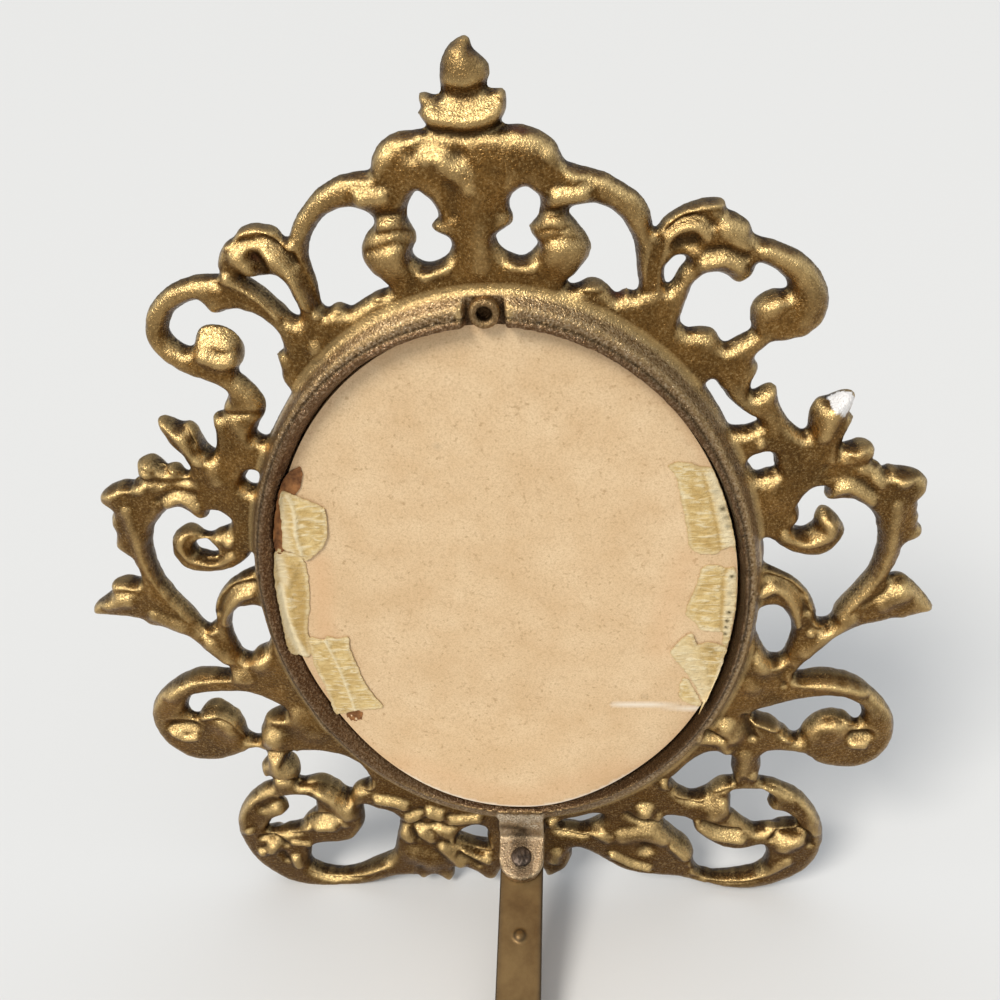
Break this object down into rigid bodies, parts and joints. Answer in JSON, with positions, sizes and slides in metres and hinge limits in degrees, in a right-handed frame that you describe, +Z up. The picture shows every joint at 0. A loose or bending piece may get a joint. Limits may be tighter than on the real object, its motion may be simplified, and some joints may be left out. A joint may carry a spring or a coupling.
{
  "type": "easel photo frame",
  "caption": "Standing gilt cast photo frame with openwork scrolls round an oval opening, glass, print and card taped in from behind, and a riveted strap leg that swings.",
  "frame": {"origin": "middle of the whole part's footprint, on the table", "axes": "+Z up along the frame's height, +Y out of the back of the frame, where the leg stands"},
  "size_m": [0.2122, 0.0782, 0.2413],
  "materials": {
    "gilt_casting": "worn bronze-gold gilt over a grained casting",
    "clear_glass": "polished",
    "print_paper": "matt photographic paper",
    "peach_card": "matt speckled card",
    "gummed_tape": "yellowed gummed paper tape",
    "brown_paper": "torn brown paper",
    "strap_metal": "satin, brown with age",
    "rivet_metal": "dark, peened"
  },
  "bodies": {
    "frame": {"cast_frame": "gilt_casting", "glass_pane": "clear_glass", "picture_print": "print_paper", "backing_card": "peach_card", "tape_upper_left": "gummed_tape", "tape_middle_left": "gummed_tape", "tape_lower_left": "gummed_tape", "tape_upper_right": "gummed_tape", "tape_middle_right": "gummed_tape", "tape_lower_right": "gummed_tape", "paper_scrap_upper": "brown_paper", "paper_scrap_lower": "brown_paper", "pivot_rivet": "rivet_metal"},
    "leg": {"easel_leg": "strap_metal"}
  },
  "joints": [
    {"name": "leg_swing", "type": "hinge", "parent": "frame", "child": "leg", "pos_m": [-0.00191, -0.0219, 0.0265], "axis": [0, 0.342, 0.9397], "range_deg": [-90, 90]}
  ]
}
